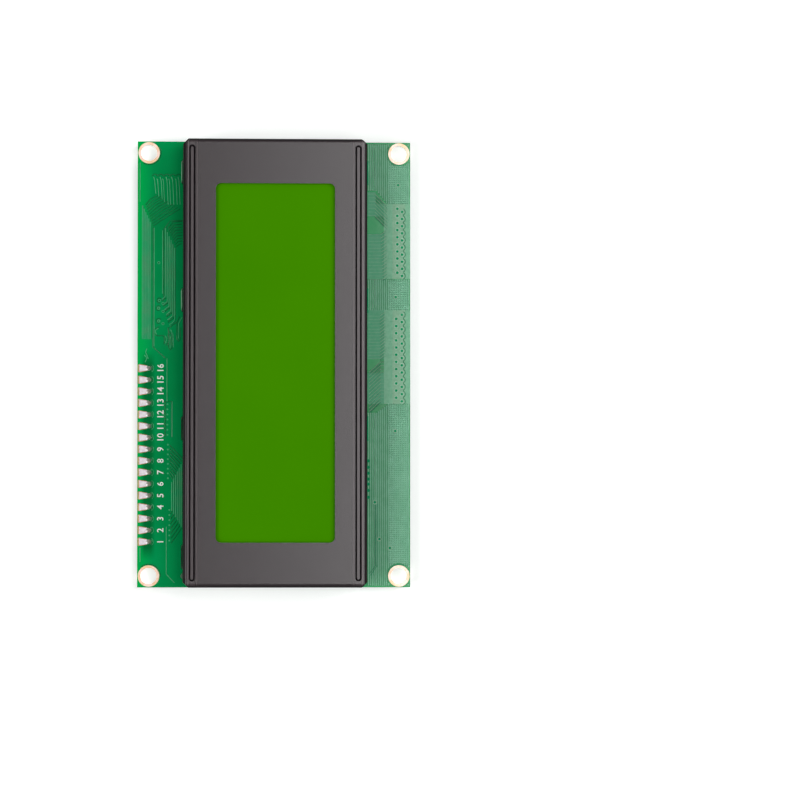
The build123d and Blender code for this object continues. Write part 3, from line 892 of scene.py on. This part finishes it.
def back_copper():
    """Tracks, dark gaps, hatched copper and vias on the back."""
    tracks = [
        [(38.1, 27.2), (37.6, 27.7), (7.7, 27.7), (7.5, 27.5), (3.3, 27.5)],
        [(38.8, 27.5), (37.9, 28.4), (7.8, 28.4), (7.5, 28.1), (3.3, 28.1)],
        [(39.5, 27.8), (38.1, 29.2), (3.3, 29.2)],
        [(43.8, 29.7), (35.6, 29.7)],
        [(24.0, -18.8), (26.8, -15.9)],
        [(11.9, 26.0), (10.6, 26.6), (6.1, 26.6), (3.7, 24.2)],
        [(6.4, 25.9), (4.6, 24.0)],
        [(1.5, 25.9), (0.6, 25.5), (-1.2, 25.5), (-2.5, 26.2)],
        [(0.6, 25.0), (-2.3, 24.8), (-3.2, 25.5)],
        [(-8.5, 24.0), (-6.0, 27.0)],
        [(-37.4, -26.1), (-40.1, -23.1)],
        [(-40.3, -22.0), (-44.8, -22.0)],
        [(-40.3, -21.4), (-44.8, -21.4)],
        [(3.8, 6.4), (-1.7, 6.4)],
        [(39.7, -29.35), (-37.0, -29.35)],
        arc(25.6, 22.3, 1.3, 10, 95, 5),
    ]
    # Fans of tracks side by side
    tracks += spread([(-7.9, 22.0), (-9.0, 23.4)], [(-13.4, 21.2), (-14.5, 22.6)], 6)
    tracks += spread(
        [(41.3, 22.5), (40.0, 22.4), (39.0, 21.4)], [(41.4, 26.9), (39.9, 26.6), (36.7, 23.4)], 8
    )
    tracks += spread([(39.3, 26.8), (36.5, 24.0)], [(37.8, 26.2), (35.6, 24.0)], 3)
    tracks += spread(
        [(17.5, 22.9), (16.4, 23.9), (14.7, 23.8)], [(18.2, 23.8), (16.3, 25.3), (14.2, 25.4)], 3
    )
    tracks += spread([(36.7, 25.4), (35.3, 24.0)], [(34.6, 25.1), (33.9, 24.4)], 4)
    tracks += spread([(16.9, -13.9), (14.6, -13.9)], [(15.4, -11.9), (14.2, -11.9)], 4)
    tracks += spread([(3.6, -14.1), (0.4, -14.1)], [(3.6, -11.5), (1.0, -11.5)], 5)
    tracks += spread([(-10.9, -13.9), (-13.0, -13.9)], [(-11.6, -12.4), (-13.0, -12.4)], 4)
    tracks += [[(-14.7 - 1.2 * i, 23.4), (-15.4 - 1.2 * i, 23.4)] for i in range(9)]
    gaps = spread([(35.5, -27.0), (35.5, -15.8)], [(18.2, -27.0), (18.2, -15.8)], 23)
    gaps += spread([(17.4, -27.0), (17.4, -22.0)], [(14.9, -27.0), (14.9, -22.0)], 4)
    gaps += [
        [(35.6, -27.1), (35.6, -15.6), (38.7, -12.2)],
        [(24.0, -18.2), (31.2, -10.9)],
        [(-31.0, 22.8), (-41.7, 22.8)],
        [(-31.0, 23.5), (-41.7, 23.5)],
    ]
    # Crossed lines over copper fields, each given by its X range and Y range
    hatch = []
    for field in (
        (36.0, 48.6, -29.2, -18.8),
        (-25.3, -16.3, -29.2, -21.9),
        (18.8, 31.4, 22.2, 27.2),
        (14.0, 18.4, 25.8, 27.2),
        (42.1, 48.6, 21.4, 29.2),
        (16.8, 24.5, 13.0, 21.6),
        (-8.1, 2.9, 18.4, 26.4),
    ):
        hatch += cross_hatch(*field, hatch_pitch)
    # The via columns at the edge, then rows and clusters across the back
    vias = through_vias()
    vias += [(43.6 - 0.74 * i, -13.4 if i % 2 else -14.25) for i in range(8)]
    vias += [(38.4, y) for y in (-8.0, -6.7, -5.7, -4.5, -3.3)]
    vias += [(37.5 - 0.78 * i, 25.8 if i % 2 else 26.6) for i in range(8)]
    vias += [(30.8 - 0.58 * i, 20.6 if i % 2 else 19.7) for i in range(9)]
    vias += [(26.9, y) for y in (7.2, 8.3, 9.3, 10.8)]
    vias += [(x, -19.7) for x in (-20.2, -21.6, -23.2, -24.7, -26.3, -27.9, -31.6, -33.2)]
    vias += [(x, -20.4) for x in (-20.9, -22.6, -24.0, -25.6, -27.2, -32.3, -34.0, -35.4, -36.8)]
    vias += [(29.8, -11.8), (29.1, -11.0), (29.3, -10.1), (28.3, -10.1), (28.9, -9.4)]
    vias += [(28.5, -8.5), (29.0, -7.6), (28.4, -7.0), (28.0, -6.2), (29.9, -5.4), (28.1, -4.1)]
    vias += [(26.4, -4.1), (24.4, -10.4), (18.9, -14.3), (19.4, -6.3), (18.2, -7.0)]
    vias += [(20.2, -2.7)]
    vias += [(43.4, 13.6), (42.0, 13.6), (40.6, 13.6), (39.3, 11.7), (39.8, 12.3), (39.1, 13.6)]
    vias += [(38.3, 11.7), (40.3, 10.8), (40.3, 8.9)]
    vias += [(23.2, 0.3), (23.2, 1.7), (23.2, 3.2), (22.3, -0.7), (22.3, 0.9), (22.3, 2.4)]
    vias += [(-32.6, -12.2), (-35.8, -12.2), (-38.7, -14.2), (-40.3, -14.2), (-39.2, -13.4)]
    vias += [(-40.9, -13.4), (-38.3, -10.3), (-38.6, -9.6), (-38.0, -8.7), (-38.3, -8.0)]
    vias += [(-17.2, -12.7), (-18.2, -13.0), (-19.6, -13.1), (-18.2, -10.8)]
    vias += [(-2.2, 2.0 + 1.5 * i) for i in range(5)]
    vias += [(-7.2 - 0.9 * (i % 2), 1.2 + 1.35 * i) for i in range(7)]
    return tracks, gaps, hatch, vias


def back_legend():
    """Ink outlines round the lands and parts on the back."""
    # The frame round the row of six resistors, with a gap in each cross line
    row_top, row_bottom, row_middle, row_gap = -39.65, -44.8, -42.15, 0.38
    rows = [1.88 + (i - 3) * 2.59 for i in range(7)]
    lines = [[(x, rows[0]), (x, rows[-1])] for x in (row_top, row_bottom)]
    for y in rows:
        lines.append([(row_top, y), (row_middle + row_gap, y)])
        lines.append([(row_middle - row_gap, y), (row_bottom, y)])
    # Outlines of single parts
    lines += split_box(-46.65, -43.95, 10.54, 15.8, 0.8, True)
    lines += [[(-46.65, 10.65), (-48.8, 10.65)], [(-46.65, 13.1), (-48.8, 13.1)]]
    lines += split_box(-48.75, -46.2, 3.5, 8.84, 0.8, True)
    lines += split_box(40.4, 43.05, 2.75, 7.85, 0.8, True)
    lines.append(rectangle(-45.65, -43.05, -12.5, -8.33))
    lines.append(rectangle(-24.9, -22.1, -27.1, -21.6))
    lines.append(rectangle(-37.1, -34.35, -27.0, -21.6))
    notched = [(-28.5, -24.3), (-28.5, -26.9), (-30.7, -26.9), (-30.7, -21.65), (-30.2, -21.65)]
    notched += [(-29.9, -22.3), (-29.6, -21.85), (-29.3, -22.3), (-29.0, -21.65)]
    notched += [(-28.5, -21.65), (-28.5, -24.3)]
    lines.append(notched)
    # Plus marks, then the minus mark and a short arc beside one dome
    for x, y in ((-20.7, -22.55), (-38.2, -22.1), (45.6, 8.95)):
        lines += [[(x - 0.55, y), (x + 0.55, y)], [(x, y - 0.55), (x, y + 0.55)]]
    lines.append([(45.6, -9.85), (45.6, -8.75)])
    lines.append(arc(-24.2, -9.6, 5.9, 150, 176, 5))
    dots = [(-26.95, -21.5)]
    return lines, dots


def dress_back():
    """Copper, vias and printing on the back."""
    tracks, gaps, hatch, vias = back_copper()
    outlines, dots = back_legend()
    for name, lines, width, height, finish in (
        ("back_tracks", tracks, 0.2, 0.02, back_over_copper),
        ("back_gaps", gaps, 0.2, 0.006, back_over_laminate),
        ("back_hatch", clear_of_openings(hatch), 0.14, 0.008, back_over_hatch),
    ):
        lay_lines(name, lines, width, height, board_back, finish)
    lay_vias("back_vias", vias, 0.22, board_back, facing_back, back_via_rim, back_via_rim)
    lay_lines("back_legend_outlines", outlines, 0.26, 0.02, board_back, legend_ink)
    lay_vias("back_legend_dot", dots, 0.28, board_back, facing_back, legend_ink, legend_ink)
    words = [("16", 1.8, 28.1, 1.7), ("1", -41.0, 27.95, 1.7)]
    rows = (-4.1, -1.75, 0.55, 3.2, 5.85, 8.35)
    words += [(str(21 + i), -38.2, y, 1.4) for i, y in enumerate(rows)]
    words += [("27", -42.6, 10.95, 1.4), ("29", -47.4, 1.45, 1.4)]
    words += [("30", -45.1, -13.8, 1.5), ("17", -23.6, -28.4, 1.5), ("18", -35.9, -28.4, 1.5)]
    words += [("36", -29.8, -28.4, 1.5), ("31", -18.3, 12.0, 1.6), ("32", -19.8, -4.7, 1.6)]
    words += [("33", 14.7, 10.75, 1.6), ("34", 14.2, -5.8, 1.6), ("35", 37.9, 3.9, 1.5)]
    words += [("37", 38.5, 6.4, 1.5)]
    print_words("back_numbers", words, board_back, facing_back, legend_ink)
    turned = [("28", -43.0, 14.7, 1.3)]
    print_words("back_turned_number", turned, board_back, facing_back, legend_ink, -90)


def dress_connector():
    """Edges of the connector's lands, the dark mouths of its holes and the pin numbers."""
    land_top = board_front + land_thickness
    pins = [first_pin_x + pin_pitch * i for i in range(pin_count)]
    mouth_y = pin_row_y - 0.2
    wells = [arc(x, mouth_y, 0.55, -90 - 85, -90 + 85, 8) for x in pins]
    lay_lines("front_hole_wells", wells, 0.36, 0.012, board_front, over_laminate)
    arcs = [arc(x, mouth_y, 0.88, -90 - 60, -90 + 60, 8) for x in pins]
    lay_lines("front_hole_arcs", arcs, 0.1, 0.02, board_front, over_copper)
    rims = []
    for x in pins:
        rims += [[(x + side * 0.84, 29.6), (x + side * 0.55, 27.95)] for side in (1, -1)]
        rims.append([(x - 0.84, 29.62), (x + 0.84, 29.62)])
    lay_lines("front_land_edges", rims, 0.13, 0.012, land_top, copper_edge)
    ends = [(x - 0.8, x + 0.8, 29.66, 29.97) for x in pins]
    lay_patches("front_land_ends", ends, 0.01, board_front, copper_under_mask)
    # Painted highlight: a white dot beside each pin hole stands in for a glint
    glint_places = [(x - 0.22, pin_row_y + 0.42) for x in pins]
    lay_vias("front_hole_glints", glint_places, 0.2, land_top, facing_front, painted_glint, painted_glint)
    words = [(str(i + 1), x, 24.95, 1.35) for i, x in enumerate(pins)]
    print_words("front_pin_numbers", words, board_front, facing_front, legend_ink)


def dress_front():
    """Copper, vias and fields on the front, then the connector."""
    tracks, gaps, vias, dots, planes = front_left_strip()
    slot_rims = [[(44.4, 20.28), (40.2, 20.28)], [(16.3, 20.28), (12.0, 20.28)]]
    for name, lines, width, height, finish in (
        ("front_tracks_left", tracks, 0.2, 0.03, over_copper),
        ("front_gaps_left", gaps, 0.22, 0.006, over_laminate),
        ("front_planes_left", planes, 0.34, 0.012, over_plane),
        ("front_slot_rims", slot_rims, 0.34, 0.02, over_pour),
    ):
        lay_lines(name, lines, width, height, board_front, finish)
    for name, places, radius, rim, well in (
        ("front_vias_left", vias, 0.33, over_copper, over_laminate),
        ("front_dots_left", dots, 0.2, over_copper, over_copper),
    ):
        lay_vias(name, places, radius, board_front, facing_front, rim, well)
    # Flat fields: the combs at the bezel, then bands across both fans towards the edge
    fans = [(18.9, 35.4), (-8.6, 12.0)]
    combs = [(32.7, 35.4), (18.9, 28.8), (1.2, 12.0), (-8.6, -1.9)]
    combs = [(a, b, -24.2, -20.6) for a, b in combs] + [(35.4, 38.0, -22.4, -20.6)]
    lay_patches("front_comb_field", combs, field_height, board_front, over_comb)
    for name, far, near, finish in (
        ("front_lead_field", -26.1, -24.2, over_leads),
        ("front_via_field", -28.9, -26.1, over_pour),
        ("front_edge_field", -29.9, -28.9, over_leads),
    ):
        boxes = [(a, b, far, near) for a, b in fans]
        lay_patches(name, boxes, field_height, board_front, finish)
    beside_tabs = [(x - 2.7, x + 2.7, -20.8, -20.35) for x in (42.3, 14.1, -14.1)]
    lay_patches("front_bars_right", beside_tabs, 0.012, board_front, via_middle)
    tracks, gaps, scallops, vias, dots, slopes, leads = front_right_strip()
    for name, lines, width, height, finish in (
        ("front_hatch_right", clear_of_openings(tracks), 0.35, 0.004, over_hatch),
        ("front_leads_right", leads, 0.14, 0.008, over_leads),
        ("front_gaps_right", gaps, 0.22, 0.008, right_gap),
        ("front_scallops_right", scallops, 0.27, 0.012, scallop_line),
        ("front_slopes_right", slopes, 0.22, 0.012, over_pour),
    ):
        lay_lines(name, lines, width, height, board_front, finish)
    for name, places, radius, rim, well in (
        ("front_vias_right", vias, 0.5, via_halo, via_middle),
        ("front_dots_right", dots, 0.36, via_middle, via_middle),
    ):
        lay_vias(name, places, radius, board_front, facing_front, rim, well)
    dress_connector()


bpy.ops.object.select_all(action="DESELECT")
place_camera()
light_scene()
lay_floor()
dress_front()
dress_back()
